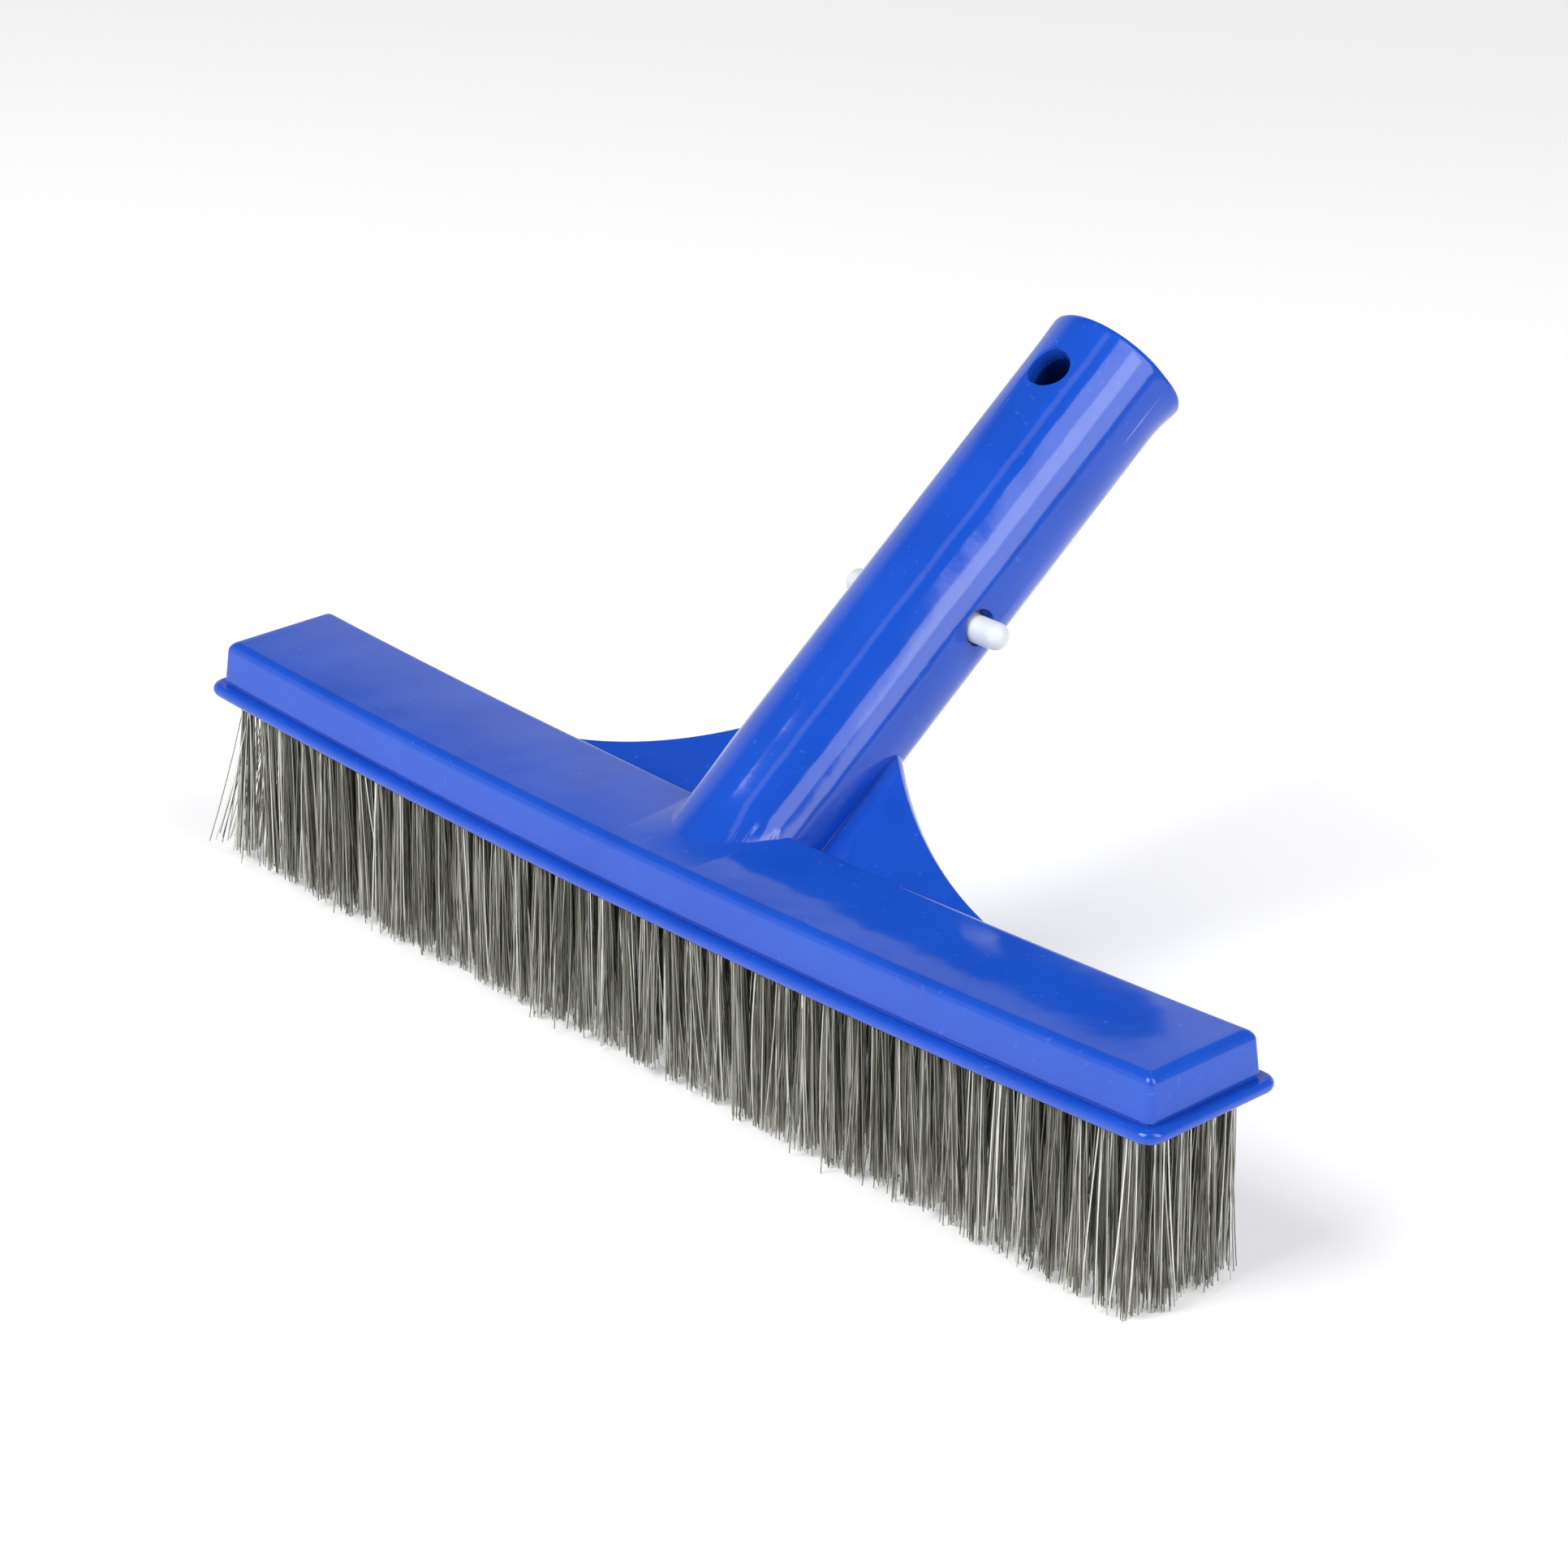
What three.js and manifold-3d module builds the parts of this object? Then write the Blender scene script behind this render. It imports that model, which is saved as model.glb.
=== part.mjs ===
// Pool wall brush: one blue plastic moulding (curved block, rim, two webs and a leaning socket tube),
// 41 columns of steel wire tufts set in blind holes, and a sprung V-clip inside the socket.
// Millimetres, +Z up, bristles down. The head runs along X and the socket leans back towards +Y.
import * as THREE from 'three';
import { mergeVertices } from 'three/addons/utils/BufferGeometryUtils.js';
import Module from 'manifold-3d';

const wasm = await Module();
wasm.setup();

// ---- head block -------------------------------------------------------------------------------
const HEAD_LENGTH = 254;        // over the rim
const HEAD_WIDTH = 31.5;        // over the rim
const HEAD_SAG = 3.35;          // how far both ends rise above the middle
const HEAD_STEPS = 16;          // facets along the curve
const CORNER_STEPS = 4;
// Outlines of the block from its underside to its top: inset from the rim, height, corner radius.
const HEAD_LEVELS = [
  { inset: 0.9, z: 0.0, corner: 3.2 },
  { inset: 0.0, z: 1.0, corner: 4.0 },
  { inset: 0.2, z: 2.1, corner: 3.9 },
  { inset: 1.0, z: 2.7, corner: 3.2 },
  { inset: 2.3, z: 2.8, corner: 2.2 },
  { inset: 2.9, z: 9.4, corner: 2.0 },
  { inset: 3.5, z: 10.7, corner: 1.8 },
  { inset: 4.8, z: 11.3, corner: 1.2 },
];

// ---- socket tube ------------------------------------------------------------------------------
const LEAN_SIN = 0.8;           // the socket leans 53 degrees from vertical
const LEAN_COS = 0.6;
const TUBE_FOOT_Y = 4.9;        // where the tube's axis meets the underside of the head
const TUBE_END = 126.4;         // along the axis from the underside
const FOOT_RADIUS = 14.1;
const FOOT_TOP_S = 30;          // the slight taper to the tube's radius starts here
const TUBE_RADIUS = 13.75;
const LIP_RADIUS = 14.3;        // slight bell mouth at the open end
const LIP_LENGTH = 7;
const LIP_EDGE = 1;             // length of the broken outer edge
const LIP_EDGE_INSET = 0.4;
const BORE_RADIUS = 10.8;
const BORE_FLOOR = 20;
const BORE_MOUTH_LENGTH = 4;    // the bore opens out a little at the mouth
const BORE_MOUTH_RADIUS = 11.4;
const TUBE_SEGMENTS = 40;
const TUBE_CUT_Z = 0.4;         // the foot is cut level with the rim
const CLIP_HOLE_S = 65.9;       // holes for the clip pins, one on each side
const CLIP_HOLE_RADIUS = 3.5;
const END_HOLE_S = 114;         // holes near the mouth, front and back
const END_HOLE_RADIUS = 4.25;
const HOLE_SEGMENTS = 24;
const CUT_MARGIN = 1;           // how far a cutter runs past the face it opens

// ---- webs -------------------------------------------------------------------------------------
const WEB_BACK = -6;            // measured from the tube's axis towards its underside
const WEB_FRONT = -3;
const WEB_HALF_SPAN = 72;
const WEB_ROOT_S = 6;
const WEB_TOP_S = 38.5;
const WEB_ARC = { x: 79.4, s: 110, radius: 97.7 };

// ---- wire tufts -------------------------------------------------------------------------------
const COLUMNS = 41;
const ROWS = 5;
const COLUMN_PITCH = 5.975;
const ROW_PITCH = 5.5;
const TUFT_HOLE_RADIUS = 1.75;
const TUFT_HOLE_DEPTH = 7.5;
const TUFT_SEAT_GAP = 0.3;
const TUFT_ROOT_RADIUS = 1.1;
const TUFT_TIP_RADIUS = 2.85;
const TUFT_TIP_Z = -32.8;
const TUFT_SIDES = 6;

// ---- sprung clip ------------------------------------------------------------------------------
const CLIP_WIDTH = 7;
const CLIP_THICKNESS = 1.6;
const CLIP_OUTER_X = 9.9;       // outer face of each arm
const HINGE_S = 31.1;
const JOINT_GAP = 0.3;
const ARM_TOP_S = 70;
const PIN_S = 65.5;
const PIN_RADIUS = 2.65;
const PIN_TIP_X = 20.6;
const PIN_DOME = 2.6;
const PIN_SEGMENTS = 16;
const DOME_STEPS = 5;

const BLUE = new THREE.MeshStandardMaterial({ color: 0x1646c8, roughness: 0.3, metalness: 0 });
const STEEL = new THREE.MeshStandardMaterial({ color: 0x8f8d80, roughness: 0.4, metalness: 1 });
const WHITE = new THREE.MeshStandardMaterial({ color: 0xe9edf0, roughness: 0.4, metalness: 0 });

// ---- solids -----------------------------------------------------------------------------------
function solid(geometry) {
  const clean = geometry.clone();
  clean.deleteAttribute('normal');
  clean.deleteAttribute('uv');
  const merged = mergeVertices(clean, 1e-5);
  const mesh = new wasm.Mesh({
    numProp: 3,
    vertProperties: new Float32Array(merged.attributes.position.array),
    triVerts: new Uint32Array(merged.index.array),
  });
  return new wasm.Manifold(mesh);
}

function named(name, body, material) {
  const out = body.getMesh();
  const geometry = new THREE.BufferGeometry();
  geometry.setAttribute('position', new THREE.BufferAttribute(new Float32Array(out.vertProperties), 3));
  geometry.setIndex(new THREE.BufferAttribute(new Uint32Array(out.triVerts), 1));
  geometry.computeVertexNormals();
  const mesh = new THREE.Mesh(geometry, material);
  mesh.name = name;
  return mesh;
}

// Height of the curved underside above its middle.
function sag(x) {
  return HEAD_SAG * (2 * x / HEAD_LENGTH) ** 2;
}

// Carries shapes drawn about a local socket axis (X across, Y towards the back, Z along)
// to the leaning socket.
function toSocket(geometry) {
  const across = new THREE.Vector3(1, 0, 0);
  const back = new THREE.Vector3(0, LEAN_COS, -LEAN_SIN);
  const along = new THREE.Vector3(0, LEAN_SIN, LEAN_COS);
  const basis = new THREE.Matrix4().makeBasis(across, back, along);
  basis.setPosition(0, TUBE_FOOT_Y, 0);
  return geometry.applyMatrix4(basis);
}

// ---- head block -------------------------------------------------------------------------------
// One outline as front and back chains of points, from the left end to the right end.
function outlineChains(level) {
  const halfLength = HEAD_LENGTH / 2 - level.inset;
  const halfWidth = HEAD_WIDTH / 2 - level.inset;
  const right = [];
  for (let i = 0; i <= CORNER_STEPS; i += 1) {
    const angle = (Math.PI / 2) * (1 - i / CORNER_STEPS);
    right.push([
      halfLength - level.corner * (1 - Math.cos(angle)),
      halfWidth - level.corner * (1 - Math.sin(angle)),
    ]);
  }
  const left = right.map(([x, y]) => [-x, y]).reverse();
  const straight = [];
  for (let i = 1; i < HEAD_STEPS; i += 1) {
    const reach = halfLength - level.corner;
    straight.push([-reach + (2 * reach * i) / HEAD_STEPS, halfWidth]);
  }
  return [...left, ...straight, ...right];
}

function headBlock() {
  const positions = [];
  const index = [];
  const rings = HEAD_LEVELS.map((level) => {
    const chain = outlineChains(level);
    const ids = [1, -1].map((side) => chain.map(([x, y]) => {
      positions.push(x, side * y, level.z + sag(x));
      return positions.length / 3 - 1;
    }));
    return { back: ids[0], front: ids[1] };
  });
  const quad = (a, b, c, d) => index.push(a, b, c, a, c, d);
  for (let k = 1; k < rings.length; k += 1) {
    const low = rings[k - 1];
    const high = rings[k];
    const last = low.back.length - 1;
    for (let i = 0; i < last; i += 1) {
      quad(low.front[i], low.front[i + 1], high.front[i + 1], high.front[i]);
      quad(low.back[i + 1], low.back[i], high.back[i], high.back[i + 1]);
    }
    quad(low.front[last], low.back[last], high.back[last], high.front[last]);
    quad(low.back[0], low.front[0], high.front[0], high.back[0]);
  }
  const bottom = rings[0];
  const top = rings[rings.length - 1];
  for (let i = 0; i < bottom.back.length - 1; i += 1) {
    quad(bottom.front[i], bottom.back[i], bottom.back[i + 1], bottom.front[i + 1]);
    quad(top.front[i], top.front[i + 1], top.back[i + 1], top.back[i]);
  }
  const geometry = new THREE.BufferGeometry();
  geometry.setAttribute('position', new THREE.Float32BufferAttribute(positions, 3));
  geometry.setIndex(index);
  return solid(geometry);
}

// ---- socket tube and webs -----------------------------------------------------------------------
function lathed(profile, segments) {
  const points = profile.map(([radius, along]) => new THREE.Vector2(radius, along));
  return new THREE.LatheGeometry(points, segments).rotateX(Math.PI / 2);
}

function tubeOuter() {
  return solid(toSocket(lathed([
    [0, 0],
    [FOOT_RADIUS, 0],
    [FOOT_RADIUS, FOOT_TOP_S],
    [TUBE_RADIUS, TUBE_END - LIP_LENGTH],
    [LIP_RADIUS, TUBE_END - LIP_EDGE],
    [LIP_RADIUS - LIP_EDGE_INSET, TUBE_END],
    [0, TUBE_END],
  ], TUBE_SEGMENTS)));
}

function tubeBore() {
  return solid(toSocket(lathed([
    [0, BORE_FLOOR],
    [BORE_RADIUS, BORE_FLOOR],
    [BORE_RADIUS, TUBE_END - BORE_MOUTH_LENGTH],
    [BORE_MOUTH_RADIUS, TUBE_END + CUT_MARGIN],
    [0, TUBE_END + CUT_MARGIN],
  ], TUBE_SEGMENTS)));
}

function crossHole(radius, along, axis) {
  const drill = new THREE.CylinderGeometry(radius, radius, 4 * FOOT_RADIUS, HOLE_SEGMENTS);
  if (axis === 'across') drill.rotateZ(Math.PI / 2);
  drill.translate(0, 0, along);
  return solid(toSocket(drill));
}

function webs() {
  const startAngle = Math.asin((WEB_TOP_S - WEB_ARC.s) / WEB_ARC.radius);
  const endAngle = Math.acos((WEB_HALF_SPAN - WEB_ARC.x) / WEB_ARC.radius);
  const shape = new THREE.Shape();
  shape.moveTo(-WEB_HALF_SPAN, WEB_ROOT_S);
  shape.lineTo(WEB_HALF_SPAN, WEB_ROOT_S);
  shape.absarc(WEB_ARC.x, WEB_ARC.s, WEB_ARC.radius, -endAngle, -Math.PI - startAngle, true);
  shape.absarc(-WEB_ARC.x, WEB_ARC.s, WEB_ARC.radius, startAngle, endAngle - Math.PI, true);
  const plate = new THREE.ExtrudeGeometry(shape, {
    depth: WEB_FRONT - WEB_BACK,
    bevelEnabled: false,
    curveSegments: 9,
  });
  // Drawn across X and along the socket, then laid on the plane behind the socket's axis.
  plate.rotateX(Math.PI / 2);
  plate.translate(0, -WEB_BACK, 0);
  return solid(toSocket(plate));
}

function belowRim() {
  const size = 4 * HEAD_LENGTH;
  return solid(new THREE.BoxGeometry(size, size, size).translate(0, 0, TUBE_CUT_Z - size / 2));
}

// ---- tufts ------------------------------------------------------------------------------------
function columnX(column) {
  return (column - (COLUMNS - 1) / 2) * COLUMN_PITCH;
}

function rowY(row) {
  return (row - (ROWS - 1) / 2) * ROW_PITCH;
}

function tuftHoles() {
  const drill = solid(lathed([
    [0, -CUT_MARGIN],
    [TUFT_HOLE_RADIUS, -CUT_MARGIN],
    [TUFT_HOLE_RADIUS, TUFT_HOLE_DEPTH],
    [0, TUFT_HOLE_DEPTH],
  ], TUFT_SIDES));
  const holes = [];
  for (let column = 0; column < COLUMNS; column += 1) {
    for (let row = 0; row < ROWS; row += 1) {
      const x = columnX(column);
      holes.push(drill.translate([x, rowY(row), sag(x)]));
    }
  }
  return wasm.Manifold.union(holes);
}

// Five tufts across the head. Their flared tips run into each other and hold the column together.
function tuftColumn(column) {
  const x = columnX(column);
  const seat = sag(x) + TUFT_HOLE_DEPTH - TUFT_SEAT_GAP;
  const tuft = solid(lathed([
    [0, TUFT_TIP_Z],
    [TUFT_TIP_RADIUS, TUFT_TIP_Z],
    [TUFT_ROOT_RADIUS, seat],
    [0, seat],
  ], TUFT_SIDES));
  const tufts = [];
  for (let row = 0; row < ROWS; row += 1) tufts.push(tuft.translate([x, rowY(row), 0]));
  return wasm.Manifold.union(tufts);
}

// ---- sprung clip ------------------------------------------------------------------------------
function clipBow() {
  const outer = CLIP_OUTER_X;
  const inner = CLIP_OUTER_X - CLIP_THICKNESS;
  const shape = new THREE.Shape();
  shape.absarc(0, 0, outer, Math.PI, 2 * Math.PI, false);
  shape.lineTo(inner, 0);
  shape.absarc(0, 0, inner, 2 * Math.PI, Math.PI, true);
  const bow = new THREE.ExtrudeGeometry(shape, {
    depth: CLIP_WIDTH,
    bevelEnabled: false,
    curveSegments: 14,
  });
  bow.translate(0, HINGE_S - JOINT_GAP / 2, -CLIP_WIDTH / 2);
  return solid(toSocket(bow.rotateX(Math.PI / 2)));
}

function clipArm(side) {
  const bottom = HINGE_S + JOINT_GAP / 2;
  const strip = new THREE.BoxGeometry(CLIP_THICKNESS, CLIP_WIDTH, ARM_TOP_S - bottom);
  strip.translate(CLIP_OUTER_X - CLIP_THICKNESS / 2, 0, (ARM_TOP_S + bottom) / 2);
  const root = CLIP_OUTER_X - CLIP_THICKNESS / 2;
  const profile = [[0, root], [PIN_RADIUS, root]];
  for (let i = 0; i < DOME_STEPS; i += 1) {
    const angle = (Math.PI / 2) * (i / DOME_STEPS);
    profile.push([PIN_RADIUS * Math.cos(angle), PIN_TIP_X - PIN_DOME * (1 - Math.sin(angle))]);
  }
  profile.push([0, PIN_TIP_X]);
  const pin = lathed(profile, PIN_SEGMENTS);
  pin.rotateY(Math.PI / 2).translate(0, 0, PIN_S);
  if (side < 0) {
    strip.rotateZ(Math.PI);
    pin.rotateZ(Math.PI);
  }
  return solid(toSocket(strip)).add(solid(toSocket(pin)));
}

// ---- assembly ---------------------------------------------------------------------------------
function brushBody() {
  const socket = tubeOuter().add(webs()).subtract(belowRim());
  return headBlock()
    .add(socket)
    .subtract(tubeBore())
    .subtract(crossHole(CLIP_HOLE_RADIUS, CLIP_HOLE_S, 'across'))
    .subtract(crossHole(END_HOLE_RADIUS, END_HOLE_S, 'through'))
    .subtract(tuftHoles());
}

const group = new THREE.Group();
group.name = 'pool_wall_brush';
group.add(named('brush_body', brushBody(), BLUE));
group.add(named('clip_bow', clipBow(), WHITE));
group.add(named('clip_arm_left', clipArm(-1), WHITE));
group.add(named('clip_arm_right', clipArm(1), WHITE));
for (let column = 0; column < COLUMNS; column += 1) {
  const number = String(column + 1).padStart(2, '0');
  group.add(named(`tuft_column_${number}`, tuftColumn(column), STEEL));
}

// The origin is under the middle of the whole brush, level with the wire tips.
const bounds = new THREE.Box3().setFromObject(group);
const centre = bounds.getCenter(new THREE.Vector3());
group.children.forEach((mesh) => mesh.geometry.translate(-centre.x, -centre.y, -bounds.min.z));

export default group;
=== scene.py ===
import math

import bmesh
import bpy
import numpy as np
from mathutils import Matrix, Vector

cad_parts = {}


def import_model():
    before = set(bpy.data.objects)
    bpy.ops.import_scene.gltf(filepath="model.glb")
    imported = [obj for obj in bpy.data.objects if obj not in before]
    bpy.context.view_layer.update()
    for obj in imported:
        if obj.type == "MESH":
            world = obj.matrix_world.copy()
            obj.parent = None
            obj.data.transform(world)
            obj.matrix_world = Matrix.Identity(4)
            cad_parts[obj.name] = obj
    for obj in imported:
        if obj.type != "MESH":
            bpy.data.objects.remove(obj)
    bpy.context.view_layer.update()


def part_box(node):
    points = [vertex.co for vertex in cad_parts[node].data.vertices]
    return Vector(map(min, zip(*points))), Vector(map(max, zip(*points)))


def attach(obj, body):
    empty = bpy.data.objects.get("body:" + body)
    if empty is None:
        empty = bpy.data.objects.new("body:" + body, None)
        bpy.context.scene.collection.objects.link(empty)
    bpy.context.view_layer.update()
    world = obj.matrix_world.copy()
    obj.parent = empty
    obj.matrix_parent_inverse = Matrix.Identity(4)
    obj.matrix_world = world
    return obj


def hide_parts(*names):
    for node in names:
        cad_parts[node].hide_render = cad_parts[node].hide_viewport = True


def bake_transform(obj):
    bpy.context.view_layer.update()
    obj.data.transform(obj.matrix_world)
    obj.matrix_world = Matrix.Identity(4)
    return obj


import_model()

MM = 0.001

# Lengths are in millimetres and angles in radians where nothing else is said. A name that ends in S is
# a distance along the tube's axis.

# ---- head block ----------------------------------------------------------------------------------
HEAD_LENGTH = 254.0
HEAD_WIDTH = 31.5
HEAD_SAG = 3.35
HEAD_TOP = 11.3
BEAD_RADIUS = 1.35
BEAD_STEPS = 8
BEAD_START, BEAD_SWEEP = math.radians(-90), math.radians(155)
UNDERSIDE_INSET = BEAD_RADIUS + 0.3
GROOVE_INSET = 2.3
# (inset, height) of the fine undercut line that parts the rim from the block.
GROOVE_PROFILE = [(1.6, 2.6), (2.2, 2.56), (2.6, 2.56), (2.66, 2.75), (2.45, 2.95), (GROOVE_INSET, 3.1)]
SIDE_TOP_INSET = 2.85
TOP_FILLET = 2.1
TOP_FILLET_STEPS = 8
# Corner radii in plan: the rim's and the block's at their outermost, and how fast they shrink inwards.
RIM_CORNER, RIM_CORNER_SLOPE = 3.1, 0.72
BLOCK_CORNER, BLOCK_CORNER_SLOPE = 1.35, 0.2
LEAST_CORNER = 0.55
HEAD_STEPS = 72
CORNER_STEPS = 8

# ---- socket tube ---------------------------------------------------------------------------------
LEAN_SIN = 0.8
LEAN_COS = 0.6
TUBE_FOOT_Y = 4.9
TUBE_END = 126.4
FOOT_RADIUS = 13.6
TUBE_RADIUS = 13.8
LIP_RADIUS = 13.95
LIP_LENGTH = 8.0
LIP_FLARE = 0.95
LIP_SKIN = 0.5
# The flare grows from nothing to its full height between these sines of the angle round the tube.
LIP_FADE_START, LIP_FADE_END = -0.2, 0.4
BORE_RADIUS = 10.8
BORE_FLOOR = 20.0
TUBE_SEGMENTS = 128
# Painted shade: the bore's faces get the blue darkened to this share, standing in for the shade deep inside
# the socket.
BORE_PAINTED_SHADE = 0.3
BORE_TOLERANCE = 0.05
BORE_MOUTH = 3.0
TUBE_CUT_Z = 0.4
CUT_REACH = 400.0
HOLE_SEGMENTS = 48
HOLE_EDGE = 0.22
HOLE_TOLERANCE = 0.02
HOLE_EDGE_DEPTH = 1.6
HOLE_EDGE_ANGLE = 0.6
CLIP_HOLE_S = 65.9
CLIP_HOLE_RADIUS = 3.5
END_HOLE_S = 114.0
END_HOLE_RADIUS = 4.25
FOOT_FILLET, LEAST_FILLET = 1.3, 0.35
FOOT_REACH = math.radians(60)
FOOT_STEPS = 48
FOOT_BITE = 0.9
FOOT_SINK = 0.02
SEAM_ANGLE = math.radians(3.0)
SEAM_START, SEAM_END = 111.5, 126.0
SEAM_STEPS = 8
SEAM_HEIGHT = 0.2
SEAM_ROOT_DEPTH = 0.3
SEAM_ROOT_HALF, SEAM_CREST_HALF = 0.55, 0.05
# Edges sharper than this, in degrees, stay sharp.
SMOOTH_ANGLE = 32

# ---- webs ----------------------------------------------------------------------------------------
WEB_BACK = 6.0
WEB_FRONT = 3.0
WEB_HALF_SPAN = 72.0
WEB_ROOT_S = 6.0
WEB_TOP_S = 38.5
WEB_ARC_X, WEB_ARC_S, WEB_ARC_RADIUS = 79.4, 110.0, 97.7
WEB_ARC_STEPS = 28
WEB_EDGE = 0.45
WEB_EDGE_ANGLE = 1.0
WEB_FILLET = 0.25
WEB_FILLET_START, WEB_FILLET_END = 14.0, WEB_TOP_S - 1.6
WEB_FILLET_STEPS = 12
# It fades out over about this many of its last steps, down to this share of its radius.
WEB_FILLET_FADE, WEB_FILLET_LEAST = 4, 0.15
WEB_FILLET_BITE = 0.8

# ---- wires ---------------------------------------------------------------------------------------
COLUMNS = 41
ROWS = 5
COLUMN_PITCH = 5.975
ROW_PITCH = 5.5
TUFT_HOLE_RADIUS = 1.6
TUFT_HOLE_DEPTH = 7.5
TUFT_HOLE_SEGMENTS = 12
WIRE_SEED = 7
WIRES_PER_TUFT = 56
WIRE_STEPS = 5
WIRE_ROOT_DEPTH = 3.0
WIRE_BOW = 0.32
WIRE_CURVE = 1.3
# A wire's radius is WIRE_RADIUS times a share that starts at THIN and grows by THICKER with its tone.
WIRE_RADIUS, WIRE_THIN, WIRE_THICKER = 0.13, 0.8, 0.55
WIRE_TURN = 1.7
TUFT_ROOT_SPREAD = 1.42
TUFT_LEAN = 0.5
# How much a whole tuft is cut short: the mean and the scatter.
TUFT_CUT, TUFT_CUT_SCATTER = 0.2, 0.85
TIP_POINT = 2.2
TIP_RAGGED = 0.6
LEAST_CUT, MOST_CUT = 0.1, 4.5
TIP_Z = -32.8
TIP_SPREAD = 1.9
TIP_SCATTER = 0.6
TIP_LIMIT = 3.9
TIP_PALER = 0.05
WANDER_SHARE = 0.16
WANDER_SCATTER = 1.5
# The tufts this near to the left end have splayed outwards, and a share of their wires is bent clear.
END_ZONE = 10.0
END_SPLAY = 3.2
BENT_SHARE_FRONT = 0.22
BENT_SHARE_BACK = BENT_SHARE_FRONT / 3
BENT_REACH, LEAST_BEND = 8.0, 0.15
BENT_SIDEWAYS = 0.55
BENT_LIFT = 0.35
STRAY_LIMIT = 9.5

# ---- clip ----------------------------------------------------------------------------------------
CLIP_WIDTH = 7.0
CLIP_THICKNESS = 1.6
CLIP_OUTER_X = 9.9
CLIP_MIDDLE_X = CLIP_OUTER_X - CLIP_THICKNESS / 2
CLIP_SMOOTH_ANGLE = 35
BOW_STEPS = 12
ARM_STEPS = 10
HINGE_S = 31.1
ARM_TOP_S = 70.0
PIN_S = 65.5
PIN_RADIUS = 2.65
PIN_TIP_X = 20.6
PIN_DOME = 2.6
PIN_DOME_STEPS = 12
# (radius past the pin's, distance past the arm's outer face) of the collar where the pin leaves the arm.
PIN_COLLAR = ((0.5, 0.5), (0.1, 0.75), (0.0, 1.2))
PIN_SEGMENTS = 48

# ---- looks ---------------------------------------------------------------------------------------
BLUE_DEEP = (0.0095, 0.075, 0.520)
BLUE_BRIGHT = (0.0120, 0.088, 0.590)
BLUE_FLECK = (0.05, 0.17, 0.72)
# What the lights are aimed at, in metres.
SUBJECT = (0.0, 0.01, 0.09)
SIDE_LIGHT_UP = (-0.46, -0.37, 0.81)
# The camera looks at this point of the head's frame, from this far away in metres.
CAMERA_TARGET = (2.83, 19.01, 16.27)
CAMERA_DISTANCE = 0.8318
CAMERA_AZIMUTH = math.radians(47.36)
CAMERA_ELEVATION = math.radians(24.05)
CAMERA_ROLL = math.radians(0.15)
CAMERA_LENS = 105.32
CAMERA_SENSOR = 36.0
FLOOR_HALF = 6.0

body_low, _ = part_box("brush_body")
# The head's own origin: middle of its underside, level with the lowest part of the rim.
HEAD_ORIGIN = Vector((0.0, body_low[1] + HEAD_WIDTH / 2 * MM, body_low[2]))
HEAD_TO_ROW = Matrix.Translation(HEAD_ORIGIN) @ Matrix.Scale(MM, 4)
# Local socket axes: X across, Y towards the back of the socket, Z along it.
SOCKET_TO_HEAD = Matrix((
    (1, 0, 0, 0),
    (0, LEAN_COS, LEAN_SIN, TUBE_FOOT_Y),
    (0, -LEAN_SIN, LEAN_COS, 0),
    (0, 0, 0, 1),
))
SOCKET_TO_ROW = HEAD_TO_ROW @ SOCKET_TO_HEAD


def sag(x):
    """How far the bowed block has risen at x."""
    return HEAD_SAG * (2 * x / HEAD_LENGTH) ** 2


# ---- mesh helpers --------------------------------------------------------------------------------
def mesh_object(name, vertices, faces):
    mesh = bpy.data.meshes.new(name)
    mesh.from_pydata([tuple(v) for v in vertices], [], faces)
    mesh.validate()
    obj = bpy.data.objects.new(name, mesh)
    bpy.context.scene.collection.objects.link(obj)
    return obj


def fix_normals(obj):
    """Turns every face outwards."""
    bm = bmesh.new()
    bm.from_mesh(obj.data)
    bmesh.ops.recalc_face_normals(bm, faces=bm.faces)
    bm.to_mesh(obj.data)
    bm.free()


def solid(name, vertices, faces):
    obj = mesh_object(name, vertices, faces)
    fix_normals(obj)
    return obj


def boolean(target, cutter, operation):
    """Joins cutter to target or cuts it out of it, and removes cutter."""
    modifier = target.modifiers.new("cut", "BOOLEAN")
    modifier.object = cutter
    modifier.operation = operation
    modifier.solver = "EXACT"
    depsgraph = bpy.context.evaluated_depsgraph_get()
    result = bpy.data.meshes.new_from_object(target.evaluated_get(depsgraph))
    target.modifiers.clear()
    target.data = result
    bpy.data.objects.remove(cutter)


def smooth(obj, angle_deg):
    obj.data.polygons.foreach_set("use_smooth", [True] * len(obj.data.polygons))
    obj.data.set_sharp_from_angle(angle=math.radians(angle_deg))


def lathe(name, profile, segments, transform, swell=None):
    """A closed solid turned about local Z from (radius, height) points, which start and end on the axis.

    swell(angle, radius, height), where given, is added to the radius.
    """
    vertices, faces = [], []
    rings = []
    for radius, height in profile:
        if radius < 1e-6:
            rings.append([len(vertices)] * segments)
            vertices.append(Vector((0, 0, height)))
            continue
        rings.append(list(range(len(vertices), len(vertices) + segments)))
        for i in range(segments):
            angle = math.tau * i / segments
            reach = radius + (swell(angle, radius, height) if swell else 0)
            vertices.append(Vector((reach * math.cos(angle), reach * math.sin(angle), height)))
    for low, high in zip(rings, rings[1:]):
        for i in range(segments):
            j = (i + 1) % segments
            corners = [low[i], low[j], high[j], high[i]]
            unique = list(dict.fromkeys(corners))
            if len(unique) > 2:
                faces.append(unique)
    return solid(name, [transform @ v for v in vertices], faces)


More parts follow.
